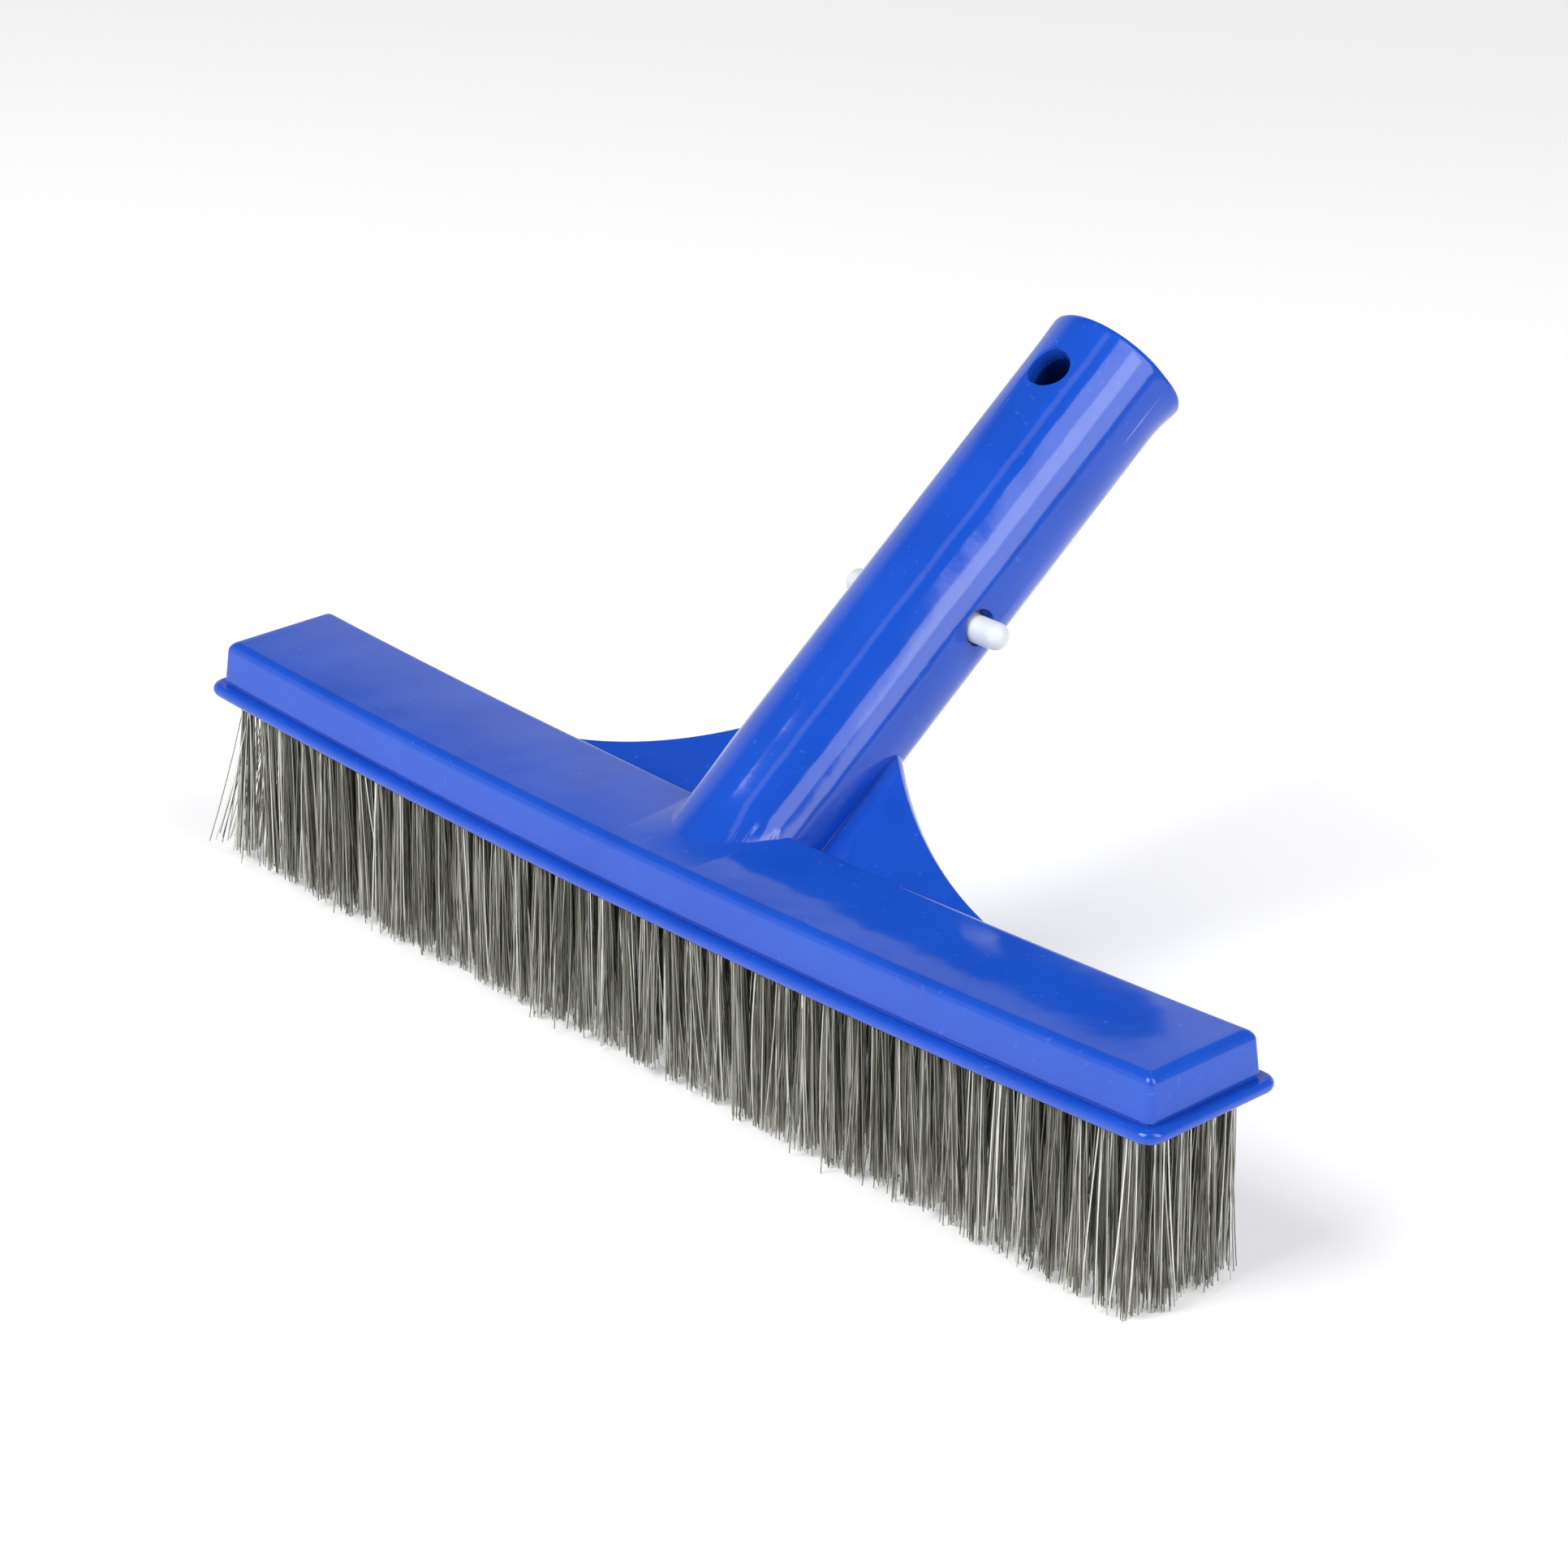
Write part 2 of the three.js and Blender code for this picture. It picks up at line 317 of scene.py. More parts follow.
def prism(name, outline, low, high, transform):
    """A closed solid from an outline in local X and Z, between two local Y heights."""
    count = len(outline)
    vertices = [Vector((x, low, z)) for x, z in outline] + [Vector((x, high, z)) for x, z in outline]
    faces = [list(range(count)), list(range(2 * count - 1, count - 1, -1))]
    for i in range(count):
        j = (i + 1) % count
        faces.append([i, i + count, j + count, j])
    return solid(name, [transform @ v for v in vertices], faces)


def sweep(name, sections):
    """A closed solid through equal-length rings of points, given in the head's frame."""
    count = len(sections[0])
    vertices = [HEAD_TO_ROW @ v for section in sections for v in section]
    faces = [list(range(count)), list(range(len(vertices) - count, len(vertices)))]
    for k in range(len(sections) - 1):
        for i in range(count):
            j = (i + 1) % count
            a, b = k * count, (k + 1) * count
            faces.append([a + i, a + j, b + j, b + i])
    return solid(name, vertices, faces)


def arc_points(centre_x, centre_s, radius, start, end, steps):
    """Points on an arc in local X and Z of the socket, from one angle to another."""
    points = []
    for i in range(steps + 1):
        angle = start + (end - start) * i / steps
        points.append((centre_x + radius * math.cos(angle), centre_s + radius * math.sin(angle)))
    return points


def arc_between(centre, start, end, steps):
    """Points from start to end on the short arc about centre."""
    a, b = start - centre, end - centre
    angle = a.angle(b)
    points = []
    for i in range(steps + 1):
        t = i / steps
        points.append(centre + (a * math.sin((1 - t) * angle) + b * math.sin(t * angle)) / math.sin(angle))
    return points


# ---- brush body ----------------------------------------------------------------------------------
def head_levels():
    """(inset, height) of the block's outline from its underside to its top."""
    levels = [(UNDERSIDE_INSET, 0.0)]
    for i in range(BEAD_STEPS + 1):
        angle = BEAD_START + BEAD_SWEEP * i / BEAD_STEPS
        levels.append((BEAD_RADIUS * (1 - math.cos(angle)), BEAD_RADIUS * (1 + math.sin(angle))))
    levels += GROOVE_PROFILE
    centre_inset = SIDE_TOP_INSET + TOP_FILLET
    centre_z = HEAD_TOP - TOP_FILLET
    for i in range(TOP_FILLET_STEPS + 1):
        angle = math.pi / 2 * i / TOP_FILLET_STEPS
        levels.append((centre_inset - TOP_FILLET * math.cos(angle), centre_z + TOP_FILLET * math.sin(angle)))
    return levels


def corner_radius(inset):
    if inset < GROOVE_INSET:
        return RIM_CORNER - RIM_CORNER_SLOPE * inset
    return max(LEAST_CORNER, BLOCK_CORNER - BLOCK_CORNER_SLOPE * (inset - GROOVE_INSET))


def head_outline(inset):
    """The back half of one outline, from its left end to its right end."""
    half_length = HEAD_LENGTH / 2 - inset
    half_width = HEAD_WIDTH / 2 - inset
    corner = corner_radius(inset)
    reach = half_length - corner
    right = []
    for i in range(CORNER_STEPS + 1):
        angle = math.pi / 2 * (1 - i / CORNER_STEPS)
        x = half_length - corner * (1 - math.cos(angle))
        y = half_width - corner * (1 - math.sin(angle))
        right.append((x, y))
    left = [(-x, y) for x, y in reversed(right)]
    straight = [(-reach + 2 * reach * i / HEAD_STEPS, half_width) for i in range(1, HEAD_STEPS)]
    return left + straight + right


def head_block():
    """The bowed block with its rim, as a front and a back chain of points at each level."""
    vertices, faces, rings = [], [], []
    for inset, z in head_levels():
        ids = []
        for side in (-1, 1):
            chain = head_outline(inset)
            ids.append(list(range(len(vertices), len(vertices) + len(chain))))
            vertices += [Vector((x, side * y, z + sag(x))) for x, y in chain]
        rings.append(ids)
    last = len(rings[0][0]) - 1
    for (low_front, low_back), (high_front, high_back) in zip(rings, rings[1:]):
        for i in range(last):
            faces.append([low_front[i], low_front[i + 1], high_front[i + 1], high_front[i]])
            faces.append([low_back[i + 1], low_back[i], high_back[i], high_back[i + 1]])
        faces.append([low_front[last], low_back[last], high_back[last], high_front[last]])
        faces.append([low_back[0], low_front[0], high_front[0], high_back[0]])
    for front, back in (rings[0], rings[-1]):
        for i in range(last):
            faces.append([front[i], front[i + 1], back[i + 1], back[i]])
    return solid("brush_body_visual", [HEAD_TO_ROW @ v for v in vertices], faces)


def lip_swell(angle, radius, along):
    """The mouth is belled on its underside only, where local Y is positive."""
    rise = (along - TUBE_END + LIP_LENGTH) / LIP_LENGTH
    if rise <= 0 or radius < TUBE_RADIUS - LIP_SKIN:
        return 0
    share = (math.sin(angle) - LIP_FADE_START) / (LIP_FADE_END - LIP_FADE_START)
    share = min(1, max(0, share))
    return LIP_FLARE * share * share * (3 - 2 * share) * rise ** 2


def socket_tube():
    """The tube with its belled mouth and its blind bore, turned from its (radius, height) profile."""
    profile = [
        (0, 0),
        (FOOT_RADIUS, 0),
        (FOOT_RADIUS, 12),
        (FOOT_RADIUS + 0.08, 20),
        (FOOT_RADIUS + 0.15, 28),
        (TUBE_RADIUS, 38),
        (TUBE_RADIUS, 60),
        (TUBE_RADIUS, 90),
        (TUBE_RADIUS, TUBE_END - LIP_LENGTH),
        (TUBE_RADIUS + 0.02, TUBE_END - 5.5),
        (TUBE_RADIUS + 0.05, TUBE_END - 4),
        (TUBE_RADIUS + 0.1, TUBE_END - 2.5),
        (LIP_RADIUS, TUBE_END - 0.9),
        (LIP_RADIUS - 0.1, TUBE_END - 0.35),
        (LIP_RADIUS - 0.4, TUBE_END),
        (BORE_RADIUS + 0.8, TUBE_END),
        (BORE_RADIUS + 0.45, TUBE_END - 0.25),
        (BORE_RADIUS + 0.3, TUBE_END - 0.8),
        (BORE_RADIUS, TUBE_END - 4),
        (BORE_RADIUS, BORE_FLOOR + 40),
        (BORE_RADIUS, BORE_FLOOR),
        (0, BORE_FLOOR),
    ]
    return lathe("tube", profile, TUBE_SEGMENTS, SOCKET_TO_ROW, lip_swell)


def seam(side):
    """The fine raised line that the two halves of the mould leave along the tube near its mouth."""
    out = Vector((side * math.cos(SEAM_ANGLE), math.sin(SEAM_ANGLE), 0))
    across = Vector((-side * math.sin(SEAM_ANGLE), math.cos(SEAM_ANGLE), 0))
    root_half, crest_half = across * SEAM_ROOT_HALF, across * SEAM_CREST_HALF
    sections = []
    for i in range(SEAM_STEPS + 1):
        along = SEAM_START + (SEAM_END - SEAM_START) * i / SEAM_STEPS
        height = SEAM_HEIGHT * math.sin(math.pi * (i + 0.5) / (SEAM_STEPS + 1))
        height += lip_swell(SEAM_ANGLE, TUBE_RADIUS, along)
        root = out * (TUBE_RADIUS - SEAM_ROOT_DEPTH) + Vector((0, 0, along))
        crest = out * (TUBE_RADIUS + height) + Vector((0, 0, along))
        ring = [root - root_half, root + root_half, crest + crest_half, crest - crest_half]
        sections.append([SOCKET_TO_HEAD @ p for p in ring])
    return sweep("seam", sections)


def web_plate():
    """Both webs as one plate, with a concave arc for each free edge and its rim rounded."""
    outer = -math.acos((WEB_HALF_SPAN - WEB_ARC_X) / WEB_ARC_RADIUS)
    inner = -math.pi - math.asin((WEB_TOP_S - WEB_ARC_S) / WEB_ARC_RADIUS)
    right = arc_points(WEB_ARC_X, WEB_ARC_S, WEB_ARC_RADIUS, outer, inner, WEB_ARC_STEPS)
    left = [(-x, s) for x, s in reversed(right)]
    outline = [(-WEB_HALF_SPAN, WEB_ROOT_S), (WEB_HALF_SPAN, WEB_ROOT_S)] + right + left
    plate = prism("webs", outline, WEB_FRONT, WEB_BACK, SOCKET_TO_ROW)
    bm = bmesh.new()
    bm.from_mesh(plate.data)
    rim = [e for e in bm.edges if e.calc_face_angle(0) > WEB_EDGE_ANGLE and len(e.link_faces) == 2
           and any(len(f.verts) > 4 for f in e.link_faces)]
    bmesh.ops.bevel(bm, geom=rim, offset=WEB_EDGE * MM, segments=3, profile=0.5, affect="EDGES")
    bm.to_mesh(plate.data)
    bm.free()
    return plate


def foot_fillet():
    """The ball-rolled fillet where the front of the tube meets the top of the block."""
    front = Vector((0, -LEAN_COS, LEAN_SIN))
    along = Vector((0, LEAN_SIN, LEAN_COS))
    sink = Vector((0, 0, -FOOT_SINK))
    sections = []
    for i in range(FOOT_STEPS + 1):
        angle = -FOOT_REACH + 2 * FOOT_REACH * i / FOOT_STEPS
        fade = 1 - abs(angle / FOOT_REACH) ** 4
        radius = LEAST_FILLET + (FOOT_FILLET - LEAST_FILLET) * fade
        radial = front * math.cos(angle) + Vector((1, 0, 0)) * math.sin(angle)
        out = radial * (FOOT_RADIUS + radius)
        top = HEAD_TOP + sag(out.x)
        centre = Vector((0, TUBE_FOOT_Y, 0)) + out
        centre += along * ((top + radius - centre.z) / along.z)
        on_top = centre - Vector((0, 0, radius))
        on_tube = centre - radial * radius
        bite = (on_top + on_tube) / 2 - radial * FOOT_BITE - Vector((0, 0, FOOT_BITE))
        sections.append([p + sink for p in arc_between(centre, on_top, on_tube, 6)] + [bite])
    return sweep("foot_fillet", sections)


def web_fillet(side):
    """The fillet along the tube where a web's front face meets it."""
    sections = []
    for i in range(WEB_FILLET_STEPS + 1):
        s = WEB_FILLET_START + (WEB_FILLET_END - WEB_FILLET_START) * i / WEB_FILLET_STEPS
        radius = WEB_FILLET * min(1.0, WEB_FILLET_LEAST + (WEB_FILLET_STEPS - i) / WEB_FILLET_FADE)
        back = WEB_FRONT - radius
        x = math.sqrt((FOOT_RADIUS + radius) ** 2 - back ** 2)
        centre = Vector((x, back, s))
        on_web = Vector((x, WEB_FRONT, s))
        on_tube = Vector((x, back, 0)) * (FOOT_RADIUS / (FOOT_RADIUS + radius)) + Vector((0, 0, s))
        bite = Vector((on_tube.x - WEB_FILLET_BITE, WEB_FRONT + WEB_FILLET_BITE, s))
        ring = arc_between(centre, on_web, on_tube, 5) + [bite]
        sections.append([SOCKET_TO_HEAD @ Vector((side * p.x, p.y, p.z)) for p in ring])
    return sweep("web_fillet", sections)


def cross_hole(radius, along, across):
    """A drill through both walls of the tube, across the brush or from front to back."""
    axis = Matrix.Rotation(math.pi / 2, 4, "Y" if across else "X")
    place = SOCKET_TO_ROW @ Matrix.Translation((0, 0, along)) @ axis
    reach = 2 * FOOT_RADIUS
    profile = [(0, -reach), (radius, -reach), (radius, reach), (0, reach)]
    return lathe("drill", profile, HOLE_SEGMENTS, place)


def below_rim():
    """Everything under the rim, where the slanting tube and webs are cut off level."""
    far = CUT_REACH
    box = [(-far, -far), (far, -far), (far, TUBE_CUT_Z), (-far, TUBE_CUT_Z)]
    return prism("below", box, -far, far, HEAD_TO_ROW)


def tuft_places():
    """(column, x, y) of every tuft, in the head's frame."""
    for column in range(COLUMNS):
        x = (column - (COLUMNS - 1) / 2) * COLUMN_PITCH
        for row in range(ROWS):
            yield column, x, (row - (ROWS - 1) / 2) * ROW_PITCH


def tuft_drills():
    """All the blind holes of the tufts, as one mesh of small prisms."""
    sides = TUFT_HOLE_SEGMENTS
    vertices, faces = [], []
    for _, x, y in tuft_places():
        base = len(vertices)
        for z in (-1.0, TUFT_HOLE_DEPTH):
            for i in range(sides):
                angle = math.tau * i / sides
                vertices.append(HEAD_TO_ROW @ Vector((
                    x + TUFT_HOLE_RADIUS * math.cos(angle),
                    y + TUFT_HOLE_RADIUS * math.sin(angle),
                    z + sag(x),
                )))
        faces.append([base + i for i in range(sides)][::-1])
        faces.append([base + sides + i for i in range(sides)])
        for i in range(sides):
            j = (i + 1) % sides
            faces.append([base + i, base + j, base + sides + j, base + sides + i])
    return mesh_object("drills", vertices, faces)


def break_hole_edges(body):
    """Rounds the outer edges of the holes in the tube a little."""
    to_socket = SOCKET_TO_ROW.inverted()
    bm = bmesh.new()
    bm.from_mesh(body.data)

    def on_rim(vertex):
        p = to_socket @ vertex.co
        if math.hypot(p.x, p.y) < TUBE_RADIUS - HOLE_EDGE_DEPTH:
            return False
        end_hole = math.hypot(p.x, p.z - END_HOLE_S) - END_HOLE_RADIUS
        clip_hole = math.hypot(p.y, p.z - CLIP_HOLE_S) - CLIP_HOLE_RADIUS
        return abs(end_hole) < HOLE_TOLERANCE or abs(clip_hole) < HOLE_TOLERANCE

    rims = [e for e in bm.edges if on_rim(e.verts[0]) and on_rim(e.verts[1])
            and e.calc_face_angle(0) > HOLE_EDGE_ANGLE]
    bmesh.ops.bevel(bm, geom=rims, offset=HOLE_EDGE * MM, segments=2, profile=0.5, affect="EDGES")
    bm.to_mesh(body.data)
    bm.free()


def paint_bore_shade(body):
    """Paints shade into the socket: the faces inside it get the darker copy of the blue, a painted shade."""
    to_socket = SOCKET_TO_ROW.inverted()
    for face in body.data.polygons:
        p = to_socket @ face.center
        inside = math.hypot(p.x, p.y) < BORE_RADIUS + BORE_TOLERANCE
        if inside and BORE_FLOOR - BORE_TOLERANCE < p.z < TUBE_END - BORE_MOUTH:
            face.material_index = 1


def body_shape():
    """The whole moulding: block, tube, webs, fillets and holes."""
    socket = socket_tube()
    boolean(socket, web_plate(), "UNION")
    for side in (-1, 1):
        boolean(socket, web_fillet(side), "UNION")
        boolean(socket, seam(side), "UNION")
    boolean(socket, below_rim(), "DIFFERENCE")
    body = head_block()
    boolean(body, socket, "UNION")
    boolean(body, foot_fillet(), "UNION")
    boolean(body, cross_hole(CLIP_HOLE_RADIUS, CLIP_HOLE_S, True), "DIFFERENCE")
    boolean(body, cross_hole(END_HOLE_RADIUS, END_HOLE_S, False), "DIFFERENCE")
    boolean(body, tuft_drills(), "DIFFERENCE")
    break_hole_edges(body)
    smooth(body, SMOOTH_ANGLE)
    return body


def brush_body():
    body = body_shape()
    body.data.materials.clear()
    body.data.materials.append(plastic_material("blue_moulded_plastic", 1.0))
    # The second material is painted shade for the bore: the same plastic with its colour darkened.
    body.data.materials.append(plastic_material("blue_bore_painted_shade", BORE_PAINTED_SHADE))
    paint_bore_shade(body)
    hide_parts("brush_body")
    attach(body, "brush")


# ---- wires ---------------------------------------------------------------------------------------
def wire_tips(x, y, offset, rng):
    """Where each wire of a tuft ends, sideways from the tuft's centre."""
    count = len(offset)
    tips = offset * TIP_SPREAD + rng.normal(0, TIP_SCATTER, (count, 2)) + rng.normal(0, TUFT_LEAN, 2)
    wander = rng.uniform(0, 1, count) < WANDER_SHARE
    tips[wander] += rng.normal(0, WANDER_SCATTER, (int(wander.sum()), 2))
    size = np.linalg.norm(tips, axis=1, keepdims=True)
    tips *= np.minimum(1, TIP_LIMIT / np.maximum(size, 1e-6))
    if x < END_ZONE - HEAD_LENGTH / 2:
        tips[:, 0] -= np.abs(rng.normal(END_SPLAY, END_SPLAY / 2, count))
        bent = rng.uniform(0, 1, count) < (BENT_SHARE_FRONT if y < 0 else BENT_SHARE_BACK)
        share = rng.uniform(LEAST_BEND, 1.0, int(bent.sum()))
        tips[bent, 0] -= BENT_REACH * share
        tips[bent, 1] += np.sign(y) * BENT_REACH * BENT_SIDEWAYS * share
        tips[:, 0] = np.maximum(tips[:, 0], -STRAY_LIMIT)
    return tips


def wire_paths(x, y, rng):
    """Centre points of one tuft's wires, as wires x steps x 3, in the head's frame."""
    count = WIRES_PER_TUFT
    turn = rng.uniform(0, math.tau, count)
    reach = np.sqrt(rng.uniform(0, 1, count))
    offset = np.stack([np.cos(turn) * reach, np.sin(turn) * reach], 1)
    tips = wire_tips(x, y, offset, rng)
    roots = offset * TUFT_ROOT_SPREAD
    # Each tuft comes to its own ragged point, so the row of tips is notched between tufts.
    shorter = abs(rng.normal(TUFT_CUT, TUFT_CUT_SCATTER))
    cut = shorter + TIP_POINT * reach ** 2 + rng.normal(0, TIP_RAGGED, count)
    bend = np.linalg.norm(tips, axis=1) - TIP_LIMIT
    tip_z = TIP_Z + np.clip(cut, LEAST_CUT, MOST_CUT) + np.maximum(0, bend) * BENT_LIFT
    root_z = sag(x) + WIRE_ROOT_DEPTH
    t = np.linspace(0, 1, WIRE_STEPS + 1)[None, :, None]
    bow = rng.normal(0, WIRE_BOW, (count, 1, 2)) * np.sin(math.pi * t)
    plan = roots[:, None, :] + (tips - roots)[:, None, :] * t ** WIRE_CURVE + bow
    plan += np.array([x, y])
    z = root_z + (tip_z - root_z)[:, None, None] * t
    return np.concatenate([plan, z], axis=2)


def wire_points(paths, tones):
    """Three points round each step of each wire, in metres."""
    phase = np.arange(len(paths))[:, None, None] * WIRE_TURN
    spokes = np.arange(3)[None, None, :] * math.tau / 3 + phase
    ring = np.stack([np.cos(spokes), np.sin(spokes), np.zeros_like(spokes)], -1) * WIRE_RADIUS
    ring = ring * (WIRE_THIN + WIRE_THICKER * tones ** 2)[:, None, None, None]
    points = paths[:, :, None, :] + ring
    return points.reshape(-1, 3) * MM + np.array(HEAD_ORIGIN)


def wire_faces(wires, steps):
    """The sides and both end caps of every wire."""
    start = (np.arange(wires)[:, None, None] * steps + np.arange(steps - 1)[None, :, None]) * 3
    i = np.arange(3)[None, None, :]
    j = (i + 1) % 3
    quads = np.stack([start + i, start + 3 + i, start + 3 + j, start + j], -1).reshape(-1, 4)
    root = (np.arange(wires) * steps)[:, None] * 3
    tip = root + (steps - 1) * 3
    root_caps = np.concatenate([root, root + 1, root + 2], 1)
    tip_caps = np.concatenate([tip, tip + 2, tip + 1], 1)
    return quads.tolist() + root_caps.tolist() + tip_caps.tolist()


def wire_mesh(name, paths, tones):
    """One column's wires as one object, with each point's tone as an attribute."""
    wires, steps, _ = paths.shape
    mesh = bpy.data.meshes.new(name)
    mesh.from_pydata(wire_points(paths, tones).tolist(), [], wire_faces(wires, steps))
    mesh.polygons.foreach_set("use_smooth", [True] * len(mesh.polygons))
    # The tips are paler than the roots, which the block keeps in shade.
    along = np.linspace(0, TIP_PALER, steps)
    values = np.clip(tones[:, None] + along[None, :], 0, 1)
    tone = mesh.attributes.new("tone", "FLOAT", "POINT")
    tone.data.foreach_set("value", np.repeat(values, 3).astype(np.float32))
    obj = bpy.data.objects.new(name, mesh)
    bpy.context.scene.collection.objects.link(obj)
    return obj


def wire_columns():
    material = steel_material()
    rng = np.random.default_rng(WIRE_SEED)
    paths = {}
    for column, x, y in tuft_places():
        paths.setdefault(column, []).append(wire_paths(x, y, rng))
    for column, tufts in paths.items():
        joined = np.concatenate(tufts)
        obj = wire_mesh(f"wires_{column + 1:02d}", joined, rng.uniform(0, 1, len(joined)))
        obj.data.materials.append(material)
        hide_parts(f"tuft_column_{column + 1:02d}")
        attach(obj, "brush")


# ---- clip ----------------------------------------------------------------------------------------
def clip_path():
    """(x, s, normal x, normal s) along the middle of half the strip, from the bow to the arm's end."""
    path = [(0.0, HINGE_S - CLIP_MIDDLE_X, 0.0, -1.0)]
    for i in range(1, BOW_STEPS + 1):
        angle = math.pi / 2 * i / BOW_STEPS
        across, down = math.sin(angle), math.cos(angle)
        path.append((CLIP_MIDDLE_X * across, HINGE_S - CLIP_MIDDLE_X * down, across, -down))
    for i in range(1, ARM_STEPS + 1):
        path.append((CLIP_MIDDLE_X, HINGE_S + (ARM_TOP_S - HINGE_S) * i / ARM_STEPS, 1.0, 0.0))
    return path


def clip_strip(name, side):
    vertices, faces = [], []
    half = CLIP_WIDTH / 2
    path = clip_path()
    for x, s, nx, ns in path:
        for thick, wide in ((-1, -1), (1, -1), (1, 1), (-1, 1)):
            shift = thick * CLIP_THICKNESS / 2
            vertices.append(Vector((side * (x + nx * shift), wide * half, s + ns * shift)))
    for k in range(len(path) - 1):
        for i in range(4):
            j = (i + 1) % 4
            faces.append([k * 4 + i, k * 4 + j, k * 4 + 4 + j, k * 4 + 4 + i])
    faces.append([0, 1, 2, 3])
    faces.append([len(vertices) - 4 + i for i in range(4)])
    return solid(name, [SOCKET_TO_ROW @ v for v in vertices], faces)


def clip_pin(side):
    """The round-ended button, with a small collar where it leaves the arm."""
    profile = [(0, CLIP_MIDDLE_X), (PIN_RADIUS + PIN_COLLAR[0][0], CLIP_MIDDLE_X)]
    profile += [(PIN_RADIUS + wider, CLIP_OUTER_X + out) for wider, out in PIN_COLLAR]
    for i in range(PIN_DOME_STEPS):
        angle = math.pi / 2 * i / PIN_DOME_STEPS
        profile.append((PIN_RADIUS * math.cos(angle), PIN_TIP_X - PIN_DOME * (1 - math.sin(angle))))
    profile.append((0, PIN_TIP_X))
    turn = Matrix.Rotation(side * math.pi / 2, 4, "Y")
    return lathe("pin", profile, PIN_SEGMENTS, SOCKET_TO_ROW @ Matrix.Translation((0, 0, PIN_S)) @ turn)


def half_clip(side, body):
    """One arm with its pin and its half of the bow, as a strip bent round the bottom of the socket."""
    arm = clip_strip(f"clip_half_{body}", side)
    boolean(arm, clip_pin(side), "UNION")
    smooth(arm, CLIP_SMOOTH_ANGLE)
    arm.data.materials.clear()
    arm.data.materials.append(nylon_material())
    node = "clip_arm_right" if side > 0 else "clip_arm_left"
    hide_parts(node, "clip_bow")
    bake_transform(arm)


# ---- materials -----------------------------------------------------------------------------------
def new_material(name):
    material = bpy.data.materials.new(name)
    material.use_nodes = True
    nodes = material.node_tree.nodes
    shader = nodes["Principled BSDF"]
    return material, nodes, material.node_tree.links, shader


def noise(nodes, links, coords, scale, detail, roughness=0.5):
    node = nodes.new("ShaderNodeTexNoise")
    node.inputs["Scale"].default_value = scale
    node.inputs["Detail"].default_value = detail
    node.inputs["Roughness"].default_value = roughness
    links.new(coords.outputs["Object"], node.inputs["Vector"])
    return node


def ramp(nodes, links, source, stops):
    """A colour ramp with (position, colour) stops."""
    node = nodes.new("ShaderNodeValToRGB")
    while len(node.color_ramp.elements) < len(stops):
        node.color_ramp.elements.new(0.5)
    for element, (position, colour) in zip(node.color_ramp.elements, stops):
        element.position = position
        element.color = (*colour, 1.0)
    links.new(source, node.inputs["Fac"])
    return node


# Darkens a colour; where shade is below 1 this paints shade into it.
def shaded(colour, shade):
    return tuple(shade * channel for channel in colour)


def bump(nodes, links, height, strength, distance):
    node = nodes.new("ShaderNodeBump")
    node.inputs["Strength"].default_value = strength
    node.inputs["Distance"].default_value = distance
    links.new(height.outputs["Fac"], node.inputs["Height"])
    return node


def flecked_blue(nodes, links, coords, shade):
    """The plastic's colour: a faint cloudiness, with small pale flecks and scuffs, all darkened by shade,
    which below 1 is painted shade.
    """
    cloud = noise(nodes, links, coords, scale=60, detail=3)
    colour = ramp(nodes, links, cloud.outputs["Fac"], [
        (0.3, shaded(BLUE_DEEP, shade)),
        (0.7, shaded(BLUE_BRIGHT, shade)),
    ])
    speck = noise(nodes, links, coords, scale=800, detail=2)
    fleck = ramp(nodes, links, speck.outputs["Fac"], [
        (0.685, (0.0, 0.0, 0.0)),
        (0.735, (0.5, 0.5, 0.5)),
    ])
    mix = nodes.new("ShaderNodeMix")
    mix.data_type = "RGBA"
    links.new(fleck.outputs["Color"], mix.inputs["Factor"])
    links.new(colour.outputs["Color"], mix.inputs["A"])
    mix.inputs["B"].default_value = (*shaded(BLUE_FLECK, shade), 1.0)
    return mix.outputs["Result"]


def plastic_material(name, shade):
    """Moulded plastic, its colour darkened by shade: a share below 1 paints shade into the colour, as for
    the bore.
    """
    material, nodes, links, shader = new_material(name)
    coords = nodes.new("ShaderNodeTexCoord")
    links.new(flecked_blue(nodes, links, coords, shade), shader.inputs["Base Color"])
    gloss = noise(nodes, links, coords, scale=180, detail=4)
    rough = nodes.new("ShaderNodeMapRange")
    rough.inputs["To Min"].default_value = 0.06
    rough.inputs["To Max"].default_value = 0.14
    links.new(gloss.outputs["Fac"], rough.inputs["Value"])
    links.new(rough.outputs["Result"], shader.inputs["Roughness"])
    # Shallow sink marks from moulding, with a fine orange peel on top.
    marks = noise(nodes, links, coords, scale=45, detail=2, roughness=0.45)
    sink = bump(nodes, links, marks, strength=0.5, distance=0.0008)
    peel = noise(nodes, links, coords, scale=900, detail=2)
    fine = bump(nodes, links, peel, strength=0.12, distance=0.00006)
    links.new(sink.outputs["Normal"], fine.inputs["Normal"])
    links.new(fine.outputs["Normal"], shader.inputs["Normal"])
    shader.inputs["IOR"].default_value = 1.49
    return material


def steel_material():
    """Steel wire, from dark to bright with each wire's tone."""
    material, nodes, links, shader = new_material("steel_wire")
    tone = nodes.new("ShaderNodeAttribute")
    tone.attribute_name = "tone"
    colour = ramp(nodes, links, tone.outputs["Fac"], [
        (0.0, (0.09, 0.086, 0.068)),
        (0.45, (0.29, 0.285, 0.24)),
        (0.75, (0.54, 0.53, 0.465)),
        (1.0, (1.0, 1.0, 0.95)),
    ])
    links.new(colour.outputs["Color"], shader.inputs["Base Color"])
    shader.inputs["Metallic"].default_value = 0.9
    shader.inputs["Roughness"].default_value = 0.38
    return material


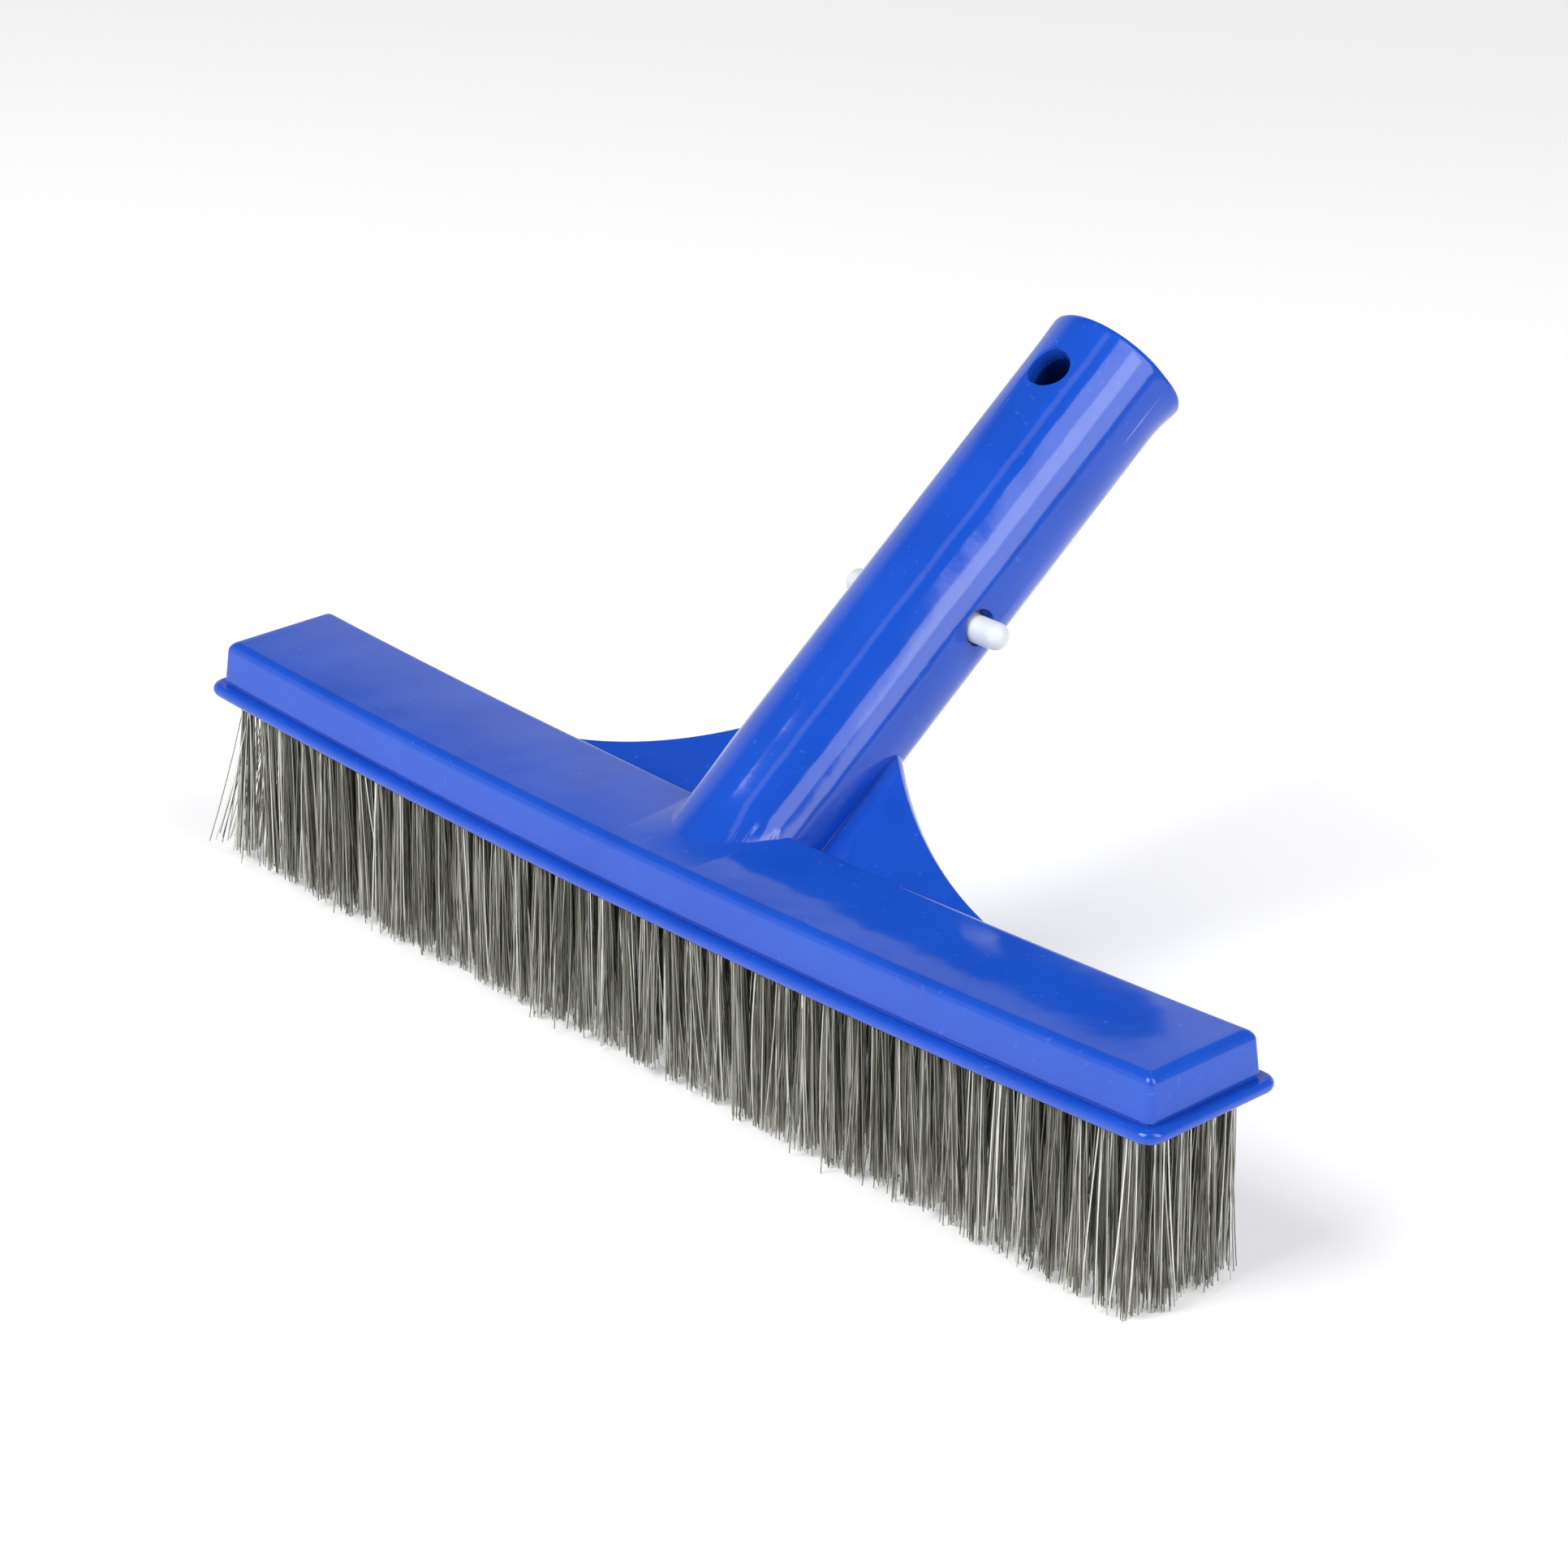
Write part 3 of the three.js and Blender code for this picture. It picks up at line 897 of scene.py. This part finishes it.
def nylon_material():
    """White nylon, shared by both halves of the clip."""
    if "white_nylon" in bpy.data.materials:
        return bpy.data.materials["white_nylon"]
    material, nodes, links, shader = new_material("white_nylon")
    coords = nodes.new("ShaderNodeTexCoord")
    cloud = noise(nodes, links, coords, scale=220, detail=3)
    colour = ramp(nodes, links, cloud.outputs["Fac"], [
        (0.3, (0.74, 0.79, 0.82)),
        (0.7, (0.82, 0.86, 0.88)),
    ])
    links.new(colour.outputs["Color"], shader.inputs["Base Color"])
    shader.inputs["Roughness"].default_value = 0.32
    shader.inputs["Subsurface Weight"].default_value = 0.2
    shader.inputs["Subsurface Radius"].default_value = (0.002, 0.002, 0.002)
    return material


def floor_material():
    material, nodes, links, shader = new_material("pale_floor")
    coords = nodes.new("ShaderNodeTexCoord")
    cloud = noise(nodes, links, coords, scale=3, detail=2)
    colour = ramp(nodes, links, cloud.outputs["Fac"], [
        (0.3, (0.90, 0.90, 0.90)),
        (0.7, (0.92, 0.92, 0.92)),
    ])
    links.new(colour.outputs["Color"], shader.inputs["Base Color"])
    shader.inputs["Roughness"].default_value = 0.7
    shader.inputs["Specular IOR Level"].default_value = 0.1
    shader.inputs["Emission Color"].default_value = (1.0, 1.0, 1.0, 1.0)
    shader.inputs["Emission Strength"].default_value = 0.3
    return material


# ---- stage ---------------------------------------------------------------------------------------
def floor():
    far = FLOOR_HALF
    corners = [(-far, -far, 0), (far, -far, 0), (far, far, 0), (-far, far, 0)]
    obj = mesh_object("floor", corners, [[0, 1, 2, 3]])
    obj.data.materials.append(floor_material())


def world():
    """A studio room: pale near the floor and on the left, dark above and on the right."""
    scene_world = bpy.data.worlds.new("studio")
    bpy.context.scene.world = scene_world
    scene_world.use_nodes = True
    nodes = scene_world.node_tree.nodes
    links = scene_world.node_tree.links
    background = nodes["Background"]
    coords = nodes.new("ShaderNodeTexCoord")
    split = nodes.new("ShaderNodeSeparateXYZ")
    links.new(coords.outputs["Generated"], split.inputs["Vector"])
    sky = ramp(nodes, links, split.outputs["Z"], [
        (0.0, (0.80, 0.80, 0.82)),
        (0.42, (0.66, 0.66, 0.68)),
        (0.62, (0.08, 0.08, 0.08)),
        (1.0, (0.04, 0.04, 0.04)),
    ])
    sides = ramp(nodes, links, split.outputs["X"], [
        (0.0, (1.0, 1.0, 1.0)),
        (0.35, (0.35, 0.35, 0.36)),
    ])
    mix = nodes.new("ShaderNodeMix")
    mix.data_type = "RGBA"
    mix.blend_type = "MULTIPLY"
    mix.inputs["Factor"].default_value = 1.0
    links.new(sky.outputs["Color"], mix.inputs["A"])
    links.new(sides.outputs["Color"], mix.inputs["B"])
    links.new(mix.outputs["Result"], background.inputs["Color"])
    background.inputs["Strength"].default_value = 1.0


def area_light(name, place, width, height, power, up=(0, 0, 1)):
    """A rectangle that faces the subject, its height along up, or as near as it can be."""
    data = bpy.data.lights.new(name, "AREA")
    data.shape = "RECTANGLE"
    data.size, data.size_y = width, height
    data.energy = power
    obj = bpy.data.objects.new(name, data)
    bpy.context.scene.collection.objects.link(obj)
    back = (Vector(place) - Vector(SUBJECT)).normalized()
    across = Vector(up).cross(back).normalized()
    turn = Matrix((across, back.cross(across), back)).transposed().to_4x4()
    obj.matrix_world = Matrix.Translation(place) @ turn


def camera():
    back = Vector((
        math.sin(CAMERA_AZIMUTH) * math.cos(CAMERA_ELEVATION),
        -math.cos(CAMERA_AZIMUTH) * math.cos(CAMERA_ELEVATION),
        math.sin(CAMERA_ELEVATION),
    ))
    data = bpy.data.cameras.new("camera")
    data.sensor_width = CAMERA_SENSOR
    data.lens = CAMERA_LENS
    obj = bpy.data.objects.new("camera", data)
    bpy.context.scene.collection.objects.link(obj)
    obj.location = HEAD_TO_ROW @ Vector(CAMERA_TARGET) + back * CAMERA_DISTANCE
    turn = (-back).to_track_quat("-Z", "Y").to_matrix() @ Matrix.Rotation(CAMERA_ROLL, 3, "Z")
    obj.rotation_euler = turn.to_euler()
    bpy.context.scene.camera = obj


def lights():
    area_light("side_softbox", (1.22, 0.2, 0.96), width=0.6, height=1.92, power=11.6, up=SIDE_LIGHT_UP)
    area_light("side_core", (1.2, -0.03, 0.81), width=0.55, height=0.5, power=2.6, up=SIDE_LIGHT_UP)
    area_light("front_softbox", (-0.28, -1.35, 1.5), width=1.2, height=1.2, power=31)
    area_light("top_strip", (0.24, -0.60, 1.98), width=0.3, height=0.7, power=0.7, up=(0, 1, 0))


camera()
world()
floor()
lights()
bpy.context.scene.view_settings.view_transform = "Standard"
brush_body()
wire_columns()
half_clip(-1, "left_arm")
half_clip(1, "right_arm")
